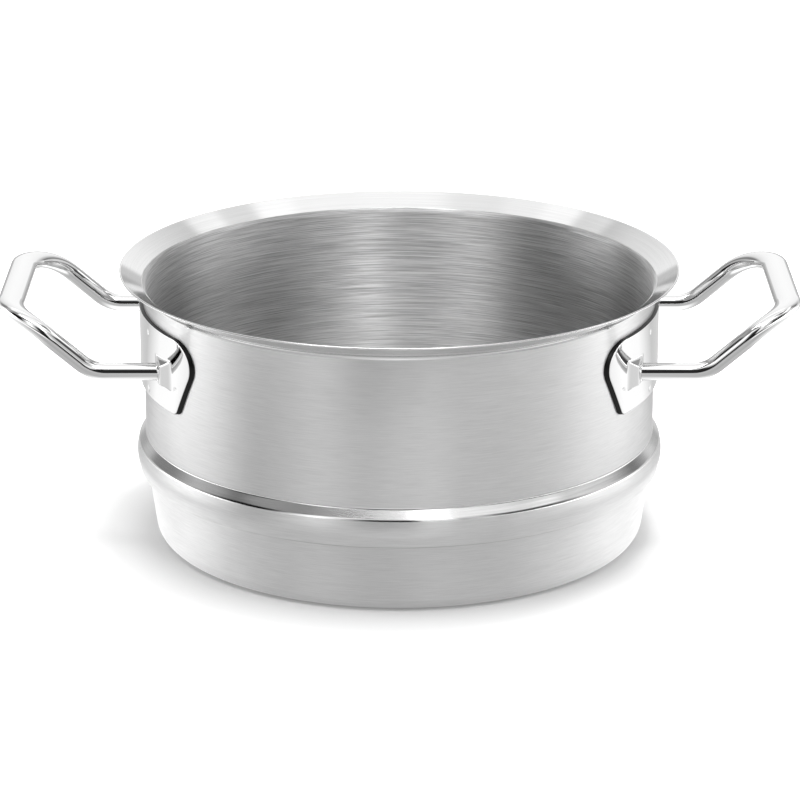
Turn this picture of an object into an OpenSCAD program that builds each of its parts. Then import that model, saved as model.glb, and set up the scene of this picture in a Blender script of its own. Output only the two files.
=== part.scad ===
// Stainless steel steamer insert with a stepped body and two looped bar handles.
// The skirt below the bead drops into a larger pot and the bead's ledge hangs on that pot's rim.
// The vessel is one drawn sheet. Each handle is a bar welded to a curved plate that is
// spot-welded to the wall. Origin: centre of the base. +Z up, handles along X.

/* [Vessel] */
// Inside diameter of the upper wall, the nominal size of the insert
mouth_d = 240; // [216:1:280]
// Thickness of the drawn sheet
sheet_t = 1; // [0.7:0.1:1.4]
// Height from the base to the lip
vessel_h = 130.2; // [112:0.2:180]
// How far the lip stands out from the wall
lip_out = 11; // [8:0.5:18]
// Slope of the lip above the horizontal
lip_slope = 31.5; // [20:0.5:45]
// Inner bend radius where the wall turns out into the lip
throat_r = 3.5; // [2:0.5:5]

/* [Bead and skirt] */
// Height of the ledge under the bead
ledge_z = 33.4; // [28:0.2:40]
// Height of the bead from its ledge to the wall
bead_h = 17.6; // [15:0.2:22]
// How far the bead's crown stands out from the wall
bead_out = 4.5; // [4:0.1:6]
// How far the bead's lower edge stands out from the wall
bead_foot_out = 2.7; // [2.4:0.1:3.5]
// Height of the crown above the ledge
crown_z = 7.8; // [6:0.1:9]
// Radius of the crown's round
crown_r = 14; // [8:0.5:18]
// How far the skirt's top lies inside the wall's outer face
skirt_in = 0.5; // [0:0.1:1]
// Lean of the skirt from the vertical
skirt_lean = 7.9; // [2:0.1:10]
// Outer radius of the corner between skirt and base
corner_r = 7; // [4:0.5:10]

/* [Steam holes] */
// Diameter of one steam hole
hole_d = 4.5; // [3:0.1:6]
// Distance between the rings of holes
ring_pitch = 15.5; // [12:0.5:20]
// Number of rings round the middle hole
rings = 6; // [3:1:6]

/* [Handle plates] */
// Thickness of the plate
plate_t = 1.8; // [1.2:0.1:2.5]
// Gap left between plate and wall
plate_gap = 0.05; // [0.02:0.01:0.1]
// Straight width over the two lobes
plate_w = 155; // [144:1:164]
// Height of the plate
plate_h = 36.4; // [32:0.2:44]
// Distance from the legs' centre line down to the plate's lower edge
plate_drop = 17; // [14:0.2:20]
// Radius of the lobes at the upper corners
lobe_r = 12; // [8:0.5:16]
// Lean of the plate's ends below the lobes
lobe_lean = 24.5; // [5:0.5:30]
// Radius of the lower corners
plate_corner_r = 3.5; // [1:0.5:6]
// Width of the raised boss at its foot, on the side towards the handle's middle
boss_near = 6.3; // [6:0.1:8]
// Width of the boss at its foot, on the side away from the middle
boss_far = 11.8; // [9:0.2:14]
// Height of the boss at its foot
boss_h = 14.8; // [12:0.2:17]
// How far the boss's foot lies above the bar's centre line
boss_up = 1.2; // [0:0.1:1.5]
// Rim of flat boss left round the weld
boss_rim = 0.1; // [0.05:0.05:0.4]
// Turn of the boss face towards the plate
boss_turn = 12; // [6:1:16]
// How far the boss face stands in front of the plate at the bar's centre line
boss_out = 1.4; // [1:0.1:2]
// Diameter of a spot weld dimple
dimple_d = 3.4; // [2:0.2:5]
// Depth of a spot weld dimple
dimple_depth = 0.35; // [0.2:0.05:0.8]

/* [Handle bars] */
// Diameter of the round bar
bar_d = 8.2; // [7:0.1:9]
// Distance between the centre lines of the two legs
leg_spread = 109; // [96:1:116]
// Distance from the lip down to the legs' centre lines
leg_drop = 35.8; // [30:0.2:44]
// Straight run of a leg from the boss to its first bend
leg_run = 23.5; // [16:0.5:34]
// Angle at which the handle rises
rise_angle = 40.5; // [25:0.5:50]
// Radius of the first bend
rise_r = 18; // [12:1:28]
// Straight run between the two bends
rise_run = 19.3; // [10:0.1:26]
// Radius of the second bend, over which the grip lies
crest_r = 42; // [34:1:60]
// Length along the bent handle from the boss to the middle of the grip
reach = 77.2; // [72:0.2:90]
// Radius of the two corners between legs and grip
grip_corner_r = 25; // [18:0.5:29]
// Width of the flattened grip
grip_w = 12.1; // [9:0.1:15]
// Thickness of the flattened grip
grip_t = 6.1; // [5:0.1:7.5]
// Length over which the bar changes from round to flat
press_run = 34; // [24:1:40]
// Size of the weld fillet round the end of a bar
weld_leg = 0.9; // [0.6:0.1:1.4]

/* [Hidden] */
$fn = 64;
steel = "silver";
polished = "gainsboro";

wall_r = mouth_d / 2 + sheet_t;
plate_in_r = wall_r + plate_gap;
plate_r = plate_in_r + plate_t;
leg_y = leg_spread / 2;
leg_z = vessel_h - leg_drop;
bar_r = bar_d / 2;
// Distance of the boss face from the axis, on the bar's centre line
boss_x = sqrt(plate_r * plate_r - leg_y * leg_y) + boss_out;
// Radius of the hole in a weld fillet, which clears the slanting cut of the bar's end
weld_gap = 0.03;
inner_weld_r = bar_r / cos(boss_turn) + weld_gap;
plate_z = leg_z - plate_drop;
arc_steps = 8;

// ---- small helpers -------------------------------------------------------

function unit(v) = v / norm(v);
// Normal on the left of a direction
function left_of(u) = [-u[1], u[0]];
function cross2(u, v) = u[0] * v[1] - u[1] * v[0];

// Arc from angle a to angle b about a centre
function arc(centre, r, a, b, steps = arc_steps) =
    [for (i = [0:steps]) centre + r * [cos(a + (b - a) * i / steps), sin(a + (b - a) * i / steps)]];

// One corner of a sheet path, moved sideways by off and rounded.
// p, c, n are the previous, own and next corner, each [r, z, outer radius].
function bend(p, c, n, off) =
    let (here = [c[0], c[1]],
         u = unit(here - [p[0], p[1]]),
         v = unit([n[0], n[1]] - here),
         nu = left_of(u),
         nv = left_of(v),
         side = sign(cross2(u, v)),
         r = max(c[2] - side * off, 0.01),
         corner = here + off * (nu + nv) / (1 + nu * nv),
         turn = acos(u * v),
         start = corner - u * r * tan(turn / 2),
         centre = start + side * r * nu,
         a = atan2(start[1] - centre[1], start[0] - centre[0]))
    arc(centre, r, a, a + side * turn);

// A sheet path with its bends, moved sideways by off
function sheet_line(path, off) =
    let (last = len(path) - 1,
         u = unit([path[1][0] - path[0][0], path[1][1] - path[0][1]]),
         v = unit([path[last][0] - path[last - 1][0], path[last][1] - path[last - 1][1]]))
    concat([[path[0][0], path[0][1]] + off * left_of(u)],
           [for (i = [1:last - 1]) each bend(path[i - 1], path[i], path[i + 1], off)],
           [[path[last][0], path[last][1]] + off * left_of(v)]);

// ---- vessel --------------------------------------------------------------

skirt_top_r = wall_r - skirt_in;
skirt_foot_r = skirt_top_r - ledge_z * tan(skirt_lean);
// Outer face's last point, just short of the lip's rounded edge
lip_end_r = wall_r + lip_out - sheet_t * (1 - sin(lip_slope)) / 2;
lip_end_z = vessel_h - sheet_t / 2 * (1 + cos(lip_slope));
lip_foot_z = lip_end_z - (lip_end_r - wall_r) * tan(lip_slope);

// Where the bead turns in towards the wall, as shares of how far it stands out and of its height
shoulder_out = 0.76;
shoulder_up = 0.77;
// Outer bend radii of the sheet at the skirt's top, the ledge's edge, the shoulder and the bead's top
crease_r = 0.4;
ledge_edge_r = sheet_t + 0.2;
shoulder_r = sheet_t + 2;
bead_top_r = 1;

// Corners of the sheet's outer face from the base's centre to the lip: [r, z, bend radius]
vessel_path = [
    [0, 0, 0],
    [skirt_foot_r, 0, corner_r],
    [skirt_top_r, ledge_z, crease_r],
    [wall_r + bead_foot_out, ledge_z, ledge_edge_r],
    [wall_r + bead_out, ledge_z + crown_z, crown_r],
    [wall_r + bead_out * shoulder_out, ledge_z + bead_h * shoulder_up, shoulder_r],
    [wall_r, ledge_z + bead_h, bead_top_r],
    [wall_r, lip_foot_z, throat_r - sheet_t],
    [lip_end_r, lip_end_z, 0]
];
// Half angle of the rounding on the lip's edge
tip_angle = 60;

module vessel_section() {
    outside = sheet_line(vessel_path, 0);
    inside = sheet_line(vessel_path, sheet_t);
    tip = (outside[len(outside) - 1] + inside[len(inside) - 1]) / 2;
    polygon(concat(outside,
                   arc(tip, sheet_t / 2, lip_slope - tip_angle, lip_slope + tip_angle, 4),
                   [for (i = [len(inside) - 1:-1:0]) inside[i]]));
}

// The middle hole and rings of six, twelve, eighteen and more holes round it, as far as the flat goes
module steam_holes() {
    flat_rings = floor((skirt_foot_r - corner_r - hole_d / 2) / ring_pitch);
    for (ring = [0:min(rings, flat_rings)], i = [0:max(6 * ring, 1) - 1])
        rotate([0, 0, ring == 0 ? 0 : 60 * i / ring])
            translate([ring * ring_pitch, 0, -sheet_t])
                cylinder(d = hole_d, h = 3 * sheet_t, $fn = 24);
}

module vessel() {
    color(steel)
        difference() {
            rotate_extrude($fn = 128) vessel_section();
            steam_holes();
        }
}

// ---- handle plates -------------------------------------------------------
// Everything on a handle is drawn on the +X side and turned half round for the left.

// Outline of the +Y half, seen along X: [y, z]
function plate_half() =
    let (lobe = [plate_w / 2 - lobe_r, plate_z + plate_h - lobe_r],
         out = [cos(lobe_lean), -sin(lobe_lean)],
         foot_z = plate_z + plate_corner_r,
         foot_y = (out * lobe + lobe_r - plate_corner_r + sin(lobe_lean) * foot_z) / cos(lobe_lean))
    concat(arc(lobe, lobe_r, 90, -lobe_lean, 12),
           arc([foot_y, foot_z], plate_corner_r, -lobe_lean, -90, 6));

module plate_outline() {
    half = plate_half();
    polygon(concat(half, [for (i = [len(half) - 1:-1:0]) [-half[i][0], half[i][1]]]));
}

// Places its children on the boss face: X out of the face, origin on the bar's centre line
module at_boss(side) {
    translate([boss_x, side * leg_y, leg_z]) rotate([0, 0, side * boss_turn]) children();
}

// Boss of the +Y leg: a flat face for the bar, with sloping sides down into the plate
module boss() {
    half = inner_weld_r + weld_leg + boss_rim;
    turned = [-sin(boss_turn), cos(boss_turn)];
    root_r = plate_in_r + plate_t / 2;
    near = asin((leg_y - boss_near) / plate_r);
    far = asin((leg_y + boss_far) / plate_r);
    foot = leg_z + boss_up;
    face = [for (u = [-half, half], h = [-half, half])
        [boss_x + u * turned[0], leg_y + u * turned[1], leg_z + h]];
    root = [for (a = [near, far], h = [-boss_h / 2, boss_h / 2])
        [root_r * cos(a), root_r * sin(a), foot + h]];
    polyhedron(points = concat(face, root),
               faces = [[0, 1, 3, 2], [4, 6, 7, 5],
                        [0, 5, 1], [0, 4, 5], [2, 7, 6], [2, 3, 7],
                        [1, 7, 3], [1, 5, 7], [0, 6, 4], [0, 2, 6]]);
}

// Spot welds of one half plate: [angle from the handle's middle, height from the plate's lower edge]
spot_welds = [[33.3, 12.2], [18.6, 31.2], [18.2, 3.6]];

module spot_dimples() {
    for (spot = spot_welds, side = [-1, 1])
        rotate([0, 0, side * spot[0]])
            translate([plate_r - dimple_depth, 0, plate_z + spot[1]])
                rotate([0, 90, 0])
                    cylinder(d = dimple_d, h = plate_t, $fn = 24);
}

module handle_plate() {
    difference() {
        union() {
            intersection() {
                difference() {
                    cylinder(r = plate_r, h = vessel_h, $fn = 128);
                    cylinder(r = plate_in_r, h = 3 * vessel_h, center = true, $fn = 128);
                }
                rotate([90, 0, 90]) linear_extrude(2 * wall_r) plate_outline();
            }
            for (side = [0, 1])
                difference() {
                    mirror([0, side, 0]) boss();
                    cylinder(r = plate_in_r + plate_t / 4, h = 3 * vessel_h, center = true, $fn = 128);
                }
        }
        spot_dimples();
    }
}

module handle_plate_left() {
    color(polished) rotate([0, 0, 180]) handle_plate();
}

module handle_plate_right() {
    color(polished) handle_plate();
}

// ---- handle bars ---------------------------------------------------------
// The bar's centre line is a U in a flat strip, and the strip is then bent upwards and over.

ring_sides = 20;
leg_steps = 22;
corner_steps = 15;
grip_steps = 12;
leg_len = reach - grip_corner_r;
corner_len = grip_corner_r * PI / 2;
grip_half = leg_y - grip_corner_r;
half_len = leg_len + corner_len + grip_half;

// How much squarer than an ellipse the flattened section is
grip_squareness = 0.25;

// Bends of the strip: where the first starts and ends, and where the second starts
bend1 = leg_run + rise_r * rise_angle * PI / 180;
bend2 = bend1 + rise_run;
bend1_at = [leg_run, 0] + rise_r * [sin(rise_angle), 1 - cos(rise_angle)];
bend2_at = bend1_at + rise_run * [cos(rise_angle), sin(rise_angle)];

// Angle of the strip at a distance from the boss
function strip_angle(s) =
    s < leg_run ? 0 :
    s < bend1 ? (s - leg_run) / rise_r * 180 / PI :
    s < bend2 ? rise_angle :
    rise_angle - (s - bend2) / crest_r * 180 / PI;

// Distance out and up of the strip at a distance from the boss
function strip_point(s) =
    s < leg_run ? [s, 0] :
    s < bend1 ? [leg_run, 0] + rise_r * [sin(strip_angle(s)), 1 - cos(strip_angle(s))] :
    s < bend2 ? bend1_at + (s - bend1) * [cos(rise_angle), sin(rise_angle)] :
    bend2_at + crest_r * [sin(rise_angle) - sin(strip_angle(s)), cos(strip_angle(s)) - cos(rise_angle)];

// Centre line of the +Y half in the flat strip at a distance along it: [out, y, outward angle]
function flat_point(d) =
    d < leg_len ? [d, leg_y, 90] :
    d < leg_len + corner_len ?
        let (a = 90 - (d - leg_len) / grip_corner_r * 180 / PI)
        [leg_len + grip_corner_r * cos(a), leg_y - grip_corner_r + grip_corner_r * sin(a), a] :
    [reach, half_len - d, 0];

// Share of flattening at a distance along the half
function pressed(d) =
    let (t = min(max((d - leg_len) / press_run, 0), 1)) t * t * (3 - 2 * t);

// One ring of the +Y half; flip = -1 gives the ring of the -Y half
function ring(d, flip) =
    let (f = flat_point(d),
         p = pressed(d),
         half_w = bar_r + (grip_w / 2 - bar_r) * p,
         half_t = bar_r + (grip_t / 2 - bar_r) * p,
         tilt = strip_angle(f[0]),
         at = strip_point(f[0]),
         power = 1 - grip_squareness * p)
    [for (i = [0:ring_sides - 1])
        let (a = 360 * i / ring_sides,
             c = cos(a),
             s = sin(a),
             w = half_w * sign(c) * pow(abs(c), power),
             t = half_t * sign(s) * pow(abs(s), power),
             out = w * cos(f[2]),
             y = f[1] + w * sin(f[2]),
             x = at[0] + out * cos(tilt) - t * sin(tilt),
             mitre = d == 0 ? -(y - leg_y) * tan(boss_turn) : 0)
        [boss_x + x + mitre, flip * y, leg_z + at[1] + out * sin(tilt) + t * cos(tilt)]];

half_stations = concat(
    [for (i = [0:leg_steps - 1]) leg_len * i / leg_steps],
    [for (i = [0:corner_steps - 1]) leg_len + corner_len * i / corner_steps],
    [for (i = [0:grip_steps]) leg_len + corner_len + grip_half * i / grip_steps]);

module handle_bar() {
    count = len(half_stations);
    rings_all = concat([for (d = half_stations) ring(d, 1)],
                       [for (i = [count - 2:-1:0]) ring(half_stations[i], -1)]);
    total = len(rings_all);
    sides = [for (k = [0:total - 2], i = [0:ring_sides - 1])
        let (j = (i + 1) % ring_sides)
        each [[k * ring_sides + i, (k + 1) * ring_sides + i, (k + 1) * ring_sides + j],
              [k * ring_sides + i, (k + 1) * ring_sides + j, k * ring_sides + j]]];
    first = [for (i = [0:ring_sides - 1]) i];
    final = [for (i = [ring_sides - 1:-1:0]) (total - 1) * ring_sides + i];
    polyhedron(points = [for (r = rings_all) each r], faces = concat([first], sides, [final]));
}

module handle_bar_left() {
    color(polished) rotate([0, 0, 180]) handle_bar();
}

module handle_bar_right() {
    color(polished) handle_bar();
}

// ---- welds ---------------------------------------------------------------

// A fillet round the bar's end, lying on the boss face, with a hollow face
module bar_weld(side) {
    inner = inner_weld_r;
    hollow = weld_leg * 0.35;
    at_boss(side)
        rotate([0, 90, 0])
            rotate_extrude()
                polygon([[inner, 0], [inner + weld_leg, 0], [inner + hollow, hollow], [inner, weld_leg]]);
}

module bar_weld_left_front() {
    color(polished) rotate([0, 0, 180]) bar_weld(1);
}

module bar_weld_left_rear() {
    color(polished) rotate([0, 0, 180]) bar_weld(-1);
}

module bar_weld_right_front() {
    color(polished) bar_weld(-1);
}

module bar_weld_right_rear() {
    color(polished) bar_weld(1);
}

// --------------------------------------------------------------------------

vessel();
handle_plate_left();
handle_plate_right();
handle_bar_left();
handle_bar_right();
bar_weld_left_front();
bar_weld_left_rear();
bar_weld_right_front();
bar_weld_right_rear();
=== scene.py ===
"""Looks of a stainless steel steamer insert: a stepped, flared vessel with a perforated base and two handles.

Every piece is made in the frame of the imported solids, in metres: +Z up, handles along X, -Y to the viewer.
"""

import math
from types import SimpleNamespace

import bmesh
import bpy
import numpy as np
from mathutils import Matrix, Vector
from mathutils.geometry import delaunay_2d_cdt


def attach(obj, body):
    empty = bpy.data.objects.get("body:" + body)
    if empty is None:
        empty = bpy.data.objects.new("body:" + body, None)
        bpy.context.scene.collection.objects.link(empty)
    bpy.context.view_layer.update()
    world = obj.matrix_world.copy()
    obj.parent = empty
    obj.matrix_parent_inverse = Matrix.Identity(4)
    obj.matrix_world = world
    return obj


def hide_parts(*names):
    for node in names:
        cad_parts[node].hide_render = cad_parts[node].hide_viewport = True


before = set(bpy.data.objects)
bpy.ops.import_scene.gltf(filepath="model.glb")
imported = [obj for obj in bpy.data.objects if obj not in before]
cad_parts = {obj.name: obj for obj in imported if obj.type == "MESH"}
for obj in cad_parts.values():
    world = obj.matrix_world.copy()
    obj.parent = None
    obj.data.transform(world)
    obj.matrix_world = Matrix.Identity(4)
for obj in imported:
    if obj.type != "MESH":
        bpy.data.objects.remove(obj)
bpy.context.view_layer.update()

bl_info = {
    "name": "Steamer insert",
    "version": (1, 0, 0),
    "blender": (4, 5, 0),
    "location": "View3D > Sidebar > Steamer",
    "description": "Builds a stepped steamer insert with a perforated base and looped bar handles",
    "category": "Object",
}

MM = 0.001
MATH = "ShaderNodeMath"


# ---- small helpers --------------------------------------------------------


def linear(hex_colour):
    """Turns an sRGB colour written as hex into linear red, green, blue and alpha."""
    parts = [int(hex_colour[i : i + 2], 16) / 255 for i in (1, 3, 5)]
    return tuple(p / 12.92 if p <= 0.04045 else ((p + 0.055) / 1.055) ** 2.4 for p in parts) + (1.0,)


def length(name, description, millimetres):
    """A length property whose default is given in millimetres."""
    return bpy.props.FloatProperty(
        name=name,
        description=description,
        default=millimetres * MM,
        min=0,
        precision=5,
        unit="LENGTH",
        subtype="DISTANCE",
    )


def angle(name, description, degrees):
    """An angle property whose default is given in degrees."""
    return bpy.props.FloatProperty(
        name=name, description=description, default=math.radians(degrees), unit="ROTATION", subtype="ANGLE"
    )


def share(name, description, value):
    """A property between 0 and 1."""
    return bpy.props.FloatProperty(
        name=name, description=description, default=value, min=0, max=1, subtype="FACTOR"
    )


def colour(name, description, hex_colour):
    """A colour property whose default is given as sRGB hex."""
    return bpy.props.FloatVectorProperty(
        name=name, description=description, default=linear(hex_colour), size=4, min=0, max=1, subtype="COLOR"
    )


def add(tree, kind, values=(), **settings):
    """Adds a node: settings are its own properties, values its inputs, in order or by name. A value is a
    constant, another node's output, or a node, which stands for its first output."""
    node = tree.nodes.new(kind)
    for key, value in settings.items():
        setattr(node, key, value)
    for key, value in values.items() if isinstance(values, dict) else enumerate(values):
        if isinstance(value, bpy.types.Node):
            value = value.outputs[0]
        if isinstance(value, bpy.types.NodeSocket):
            tree.links.new(value, node.inputs[key])
        else:
            node.inputs[key].default_value = value
    return node


# ---- sizes and colours that a user would change ---------------------------


class BodySizes(bpy.types.PropertyGroup):
    mouth_d: length("Mouth", "Inside diameter of the upper wall", 240)
    sheet_t: length("Sheet", "Thickness of the drawn sheet", 1)
    vessel_h: length("Height", "Height from the base to the lip", 130.2)
    lip_out: length("Lip reach", "How far the lip stands out from the wall", 10.98)
    lip_slope: angle("Lip slope", "Slope of the lip above the horizontal", 31.5)
    throat_r: length("Throat bend", "Inner bend radius where the wall turns out into the lip", 3.5)
    ledge_z: length("Ledge height", "Height of the ledge under the bead", 33.4)
    bead_h: length("Bead height", "Height of the bead from its ledge to the wall", 17.6)
    bead_out: length("Bead reach", "How far the bead's crown stands out from the wall", 4.5)
    bead_foot_out: length("Bead foot", "How far the bead's lower edge stands out from the wall", 2.7)
    crown_z: length("Crown height", "Height of the bead's crown above the ledge", 7.8)
    crown_r: length("Crown round", "Radius of the crown's round", 14)
    skirt_in: length("Skirt inset", "How far the skirt's top lies inside the wall's outer face", 0.5)
    skirt_lean: angle("Skirt lean", "Lean of the skirt from the vertical", 7.9)
    corner_r: length("Base corner", "Outer radius of the corner between skirt and base", 7)
    hole_d: length("Steam hole", "Diameter of one steam hole", 4.5)
    ring_pitch: length("Ring pitch", "Distance between the rings of holes", 15.5)
    rings: bpy.props.IntProperty(
        name="Rings", description="Rings of holes round the middle hole", default=6, min=1, max=8
    )


class HandleSizes(bpy.types.PropertyGroup):
    plate_t: length("Plate", "Thickness of the handle plate", 1.8)
    plate_gap: length("Plate seat", "Gap left between plate and wall", 0.05)
    plate_w: length("Plate width", "Straight width over the two lobes", 155)
    plate_h: length("Plate height", "Height of the plate", 36.4)
    plate_drop: length("Plate drop", "Distance from the legs' centre line to the plate's lower edge", 17)
    lobe_r: length("Lobe radius", "Radius of the lobes at the upper corners", 12)
    lobe_lean: angle("Lobe lean", "Lean of the plate's ends below the lobes", 24.5)
    plate_corner_r: length("Corner radius", "Radius of the plate's lower corners", 3.5)
    boss_near: length("Boss near", "Width of the boss's foot towards the handle's middle", 6.3)
    boss_far: length("Boss far", "Width of the boss's foot away from the handle's middle", 11.8)
    boss_h: length("Boss height", "Height of the boss at its foot", 14.8)
    boss_up: length("Boss lift", "How far the boss's foot lies above the bar's centre line", 1.2)
    boss_turn: angle("Boss turn", "Turn of the boss face towards the plate", 12)
    boss_out: length("Boss reach", "How far the boss face stands in front of the plate", 1.4)
    dimple_d: length("Dimple", "Diameter of a spot weld dimple", 3.4)
    dimple_depth: length("Dimple depth", "Depth of a spot weld dimple", 0.35)
    bar_d: length("Bar", "Diameter of the round bar", 8.2)
    leg_spread: length("Leg spread", "Distance between the centre lines of the legs", 109)
    leg_drop: length("Leg drop", "Distance from the lip down to the legs' centre lines", 35.8)
    leg_run: length("Leg run", "Straight run of a leg from the boss to its first bend", 23.5)
    rise_angle: angle("Rise", "Angle at which the handle rises", 40.5)
    rise_r: length("First bend", "Radius of the first bend", 18)
    rise_run: length("Rise run", "Straight run between the two bends", 19.3)
    crest_r: length("Crest bend", "Radius of the bend over which the grip lies", 42)
    reach: length("Reach", "Length along the bent handle from the boss to the grip's middle", 77.1)
    grip_corner_r: length("Grip corner", "Radius of the two corners between legs and grip", 25)
    grip_w: length("Grip width", "Width of the flattened grip", 12.1)
    grip_t: length("Grip thickness", "Thickness of the flattened grip", 6.1)
    press_run: length("Press run", "Length over which the bar changes from round to flat", 34)
    weld_leg: length("Weld", "Size of the weld fillet round the end of a bar", 0.9)


class Finishes(bpy.types.PropertyGroup):
    steel: colour("Steel", "Colour of the bare stainless steel", "#D9D9D9")
    # Nearly black: partly the dull sheared edge, partly painted shade of the gap at the wall and a painted
    # dark reflection on the rounded edge.
    line: colour("Grinding line", "Colour in the bottom of a grinding line", "#BEBEBE")
    # Also the colour of the hairline at the ledge's corner, where it is painted crease shade.
    edge: colour("Punched edge", "Colour of a plate's punched edge", "#2A2A2A")
    # A colour brighter than bare steel: painted glints between the brush lines on the inside, standing in for
    # light the streaks would catch.
    painted_glint_ridge: colour("Ridge", "Colour of the bright ridges between coarse brush lines", "#F2F2F2")
    floor: colour("Floor", "Colour of the pale floor", "#D8D8D8")
    satin_roughness: share("Satin roughness", "Roughness of the ground outside", 0.32)
    brushed_roughness: share("Brushed roughness", "Roughness of the brushed inside", 0.5)
    mirror_roughness: share("Mirror roughness", "Roughness of the polished handles", 0.035)


# ---- materials ------------------------------------------------------------

BROAD_STREAKS = (0.4, 0.4, 0.16)  # how much slower the broader streaks run than the fine lines, by axis
QUARTER_TURN = 0.25
WAVES_PER_METRE = 110.0  # each wave of the buffing wheel is about 9 mm long
HAZE_PER_METRE = 900.0  # wiping haze, in spots of about 1 mm
HAZE_RANGE = (0.35, 0.75)
HAZE_DEPTH = 0.02


def new_material(name):
    """An empty material and its tree."""
    material = bpy.data.materials.get(name) or bpy.data.materials.new(name)
    material.use_nodes = True
    material.node_tree.nodes.clear()
    return material, material.node_tree


def end_in_metal(tree, values):
    """Ends a material's tree in a metal with these values."""
    metal = add(tree, "ShaderNodeBsdfPrincipled", {"Metallic": 1.0, **values})
    add(tree, "ShaderNodeOutputMaterial", {"Surface": metal})


def line_place(tree, line, streak, turned):
    """Where a turning or grinding line is: fast across the lines, slow along them.
    line is the distance between lines and streak a line's length, in metres."""
    place = add(tree, "ShaderNodeTexCoord").outputs["Object"]
    x, y, _ = add(tree, "ShaderNodeSeparateXYZ", (place,)).outputs
    if turned:
        flat = add(tree, "ShaderNodeCombineXYZ", (x, y))
        across = add(tree, "ShaderNodeVectorMath", (flat,), operation="LENGTH").outputs["Value"]
    else:
        uv = add(tree, "ShaderNodeUVMap", uv_map="UVMap")
        across = add(tree, "ShaderNodeSeparateXYZ", (uv,)).outputs[1]
    ways = ((x, streak), (y, streak), (across, line))
    return add(tree, "ShaderNodeCombineXYZ", [add(tree, MATH, way, operation="DIVIDE") for way in ways])


def ground_steel(
    name, roughness, spread, line, streak, depth, stretch, tint,
    bands=0.2, turned=False, painted_glint_ridge="steel", soft=0.2,
):
    """Stainless steel ground or brushed round the axis: long fine lines that draw each reflection out
    upright. spread is how much the roughness changes from line to line, depth the depth of a line in metres,
    stretch the anisotropy, tint the share of the darker line colour, bands the share of broader streaks,
    ridge the name of the colour between the lines and soft how gently a line runs into the next."""
    finishes = bpy.context.scene.steamer_finishes
    material, tree = new_material(name)
    place = line_place(tree, line, streak, turned)
    fine = add(tree, "ShaderNodeTexNoise", {"Vector": place, "Scale": 1.0, "Detail": 3.0, "Roughness": 0.65})
    broad = add(tree, "ShaderNodeVectorMath", (place, BROAD_STREAKS), operation="MULTIPLY")
    broad = add(tree, "ShaderNodeTexNoise", {"Vector": broad, "Scale": 1.0, "Detail": 1.0})
    both = add(tree, MATH, (broad, bands, fine), operation="MULTIPLY_ADD")
    level = add(tree, "ShaderNodeMapRange", (both, (0.5 - soft) * (1 + bands), (0.5 + soft) * (1 + bands)))
    tone = add(tree, MATH, (level, tint), operation="MULTIPLY")
    # The colour between the lines is a painted glint wherever it is brighter than the steel.
    colours = {0: tone, 6: tuple(getattr(finishes, painted_glint_ridge)), 7: tuple(finishes.line)}
    values = {
        "Base Color": add(tree, "ShaderNodeMix", colours, data_type="RGBA").outputs[2],
        "Roughness": add(tree, "ShaderNodeMapRange", (level, 0, 1, roughness - spread, roughness + spread)),
        "Normal": add(tree, "ShaderNodeBump", {"Height": level, "Distance": depth, "Strength": 1.0}),
        "Tangent": add(tree, "ShaderNodeTangent", direction_type="RADIAL", axis="Z"),
        "Anisotropic": stretch,
        "Anisotropic Rotation": QUARTER_TURN,
    }
    end_in_metal(tree, values)
    return material


def polished_steel(name, roughness, wave, colour_name="steel"):
    """Steel buffed to a mirror, with sharp reflections bent a little by the buffing wheel's waves, or a plain
    dull one at a high roughness. wave is the height of the waves in metres."""
    finishes = bpy.context.scene.steamer_finishes
    material, tree = new_material(name)
    place = add(tree, "ShaderNodeTexCoord").outputs["Object"]
    waves = add(tree, "ShaderNodeTexNoise", {"Vector": place, "Scale": WAVES_PER_METRE, "Detail": 1.0})
    haze = {"Vector": place, "Scale": HAZE_PER_METRE, "Detail": 3.0, "Roughness": 0.7}
    haze = add(tree, "ShaderNodeTexNoise", haze)
    values = {
        "Base Color": tuple(getattr(finishes, colour_name)),
        "Roughness": add(tree, "ShaderNodeMapRange", (haze, *HAZE_RANGE, roughness, roughness + HAZE_DEPTH)),
        "Normal": add(tree, "ShaderNodeBump", {"Height": waves, "Distance": wave, "Strength": 1.0}),
    }
    end_in_metal(tree, values)
    return material


# ---- the vessel -----------------------------------------------------------

SEGMENTS = 256
DISC_R = 105 * MM  # the middle of the base, made apart so that it can be pierced
SHOULDER_OUT, SHOULDER_UP = 0.76, 0.77  # the bead's upper corner, as shares of its reach and height
LEDGE_BEND, FOOT_BEND, SHOULDER_BEND, TOP_BEND = 0.4 * MM, 0.2 * MM, 2 * MM, 1 * MM  # inner radii at the bead
SHARPEST_BEND = 0.01 * MM
BEND_STEP, LEAST_STEPS = 5, 6  # degrees of a bend for each step, and the fewest steps
TIP_TURNS = range(-75, 76, 15)  # degrees round the lip's edge
PROFILE_STEP, PROFILE_SUPPORT = 4 * MM, 0.35 * MM
BURNISHED_FROM = 0.74  # of the bead's height
BURNISHED_PAST = 0.6 * MM  # above the bead
CREASE_SHADE_REACH = 0.4 * MM  # either side of the ledge's corner, the band where the crease's shade is painted
BUFFED_BELOW = 1.5 * MM  # outside, under the throat
BUFFED_ABOVE = 1.6 * MM  # inside, over the throat
TOUCH = 0.001 * MM  # points closer than this are one
PUNCH_LENGTH = 6  # of the sheet's thickness
HOLE_SIDES = 32
BODY_FINISHES = (
    "satin_ground_steel", "brushed_steel", "buffed_steel", "burnished_steel", "turned_steel", "drawn_steel",
)
SATIN, BRUSHED, BUFFED, BURNISHED, TURNED, CREASE_SHADE = range(6)


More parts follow.
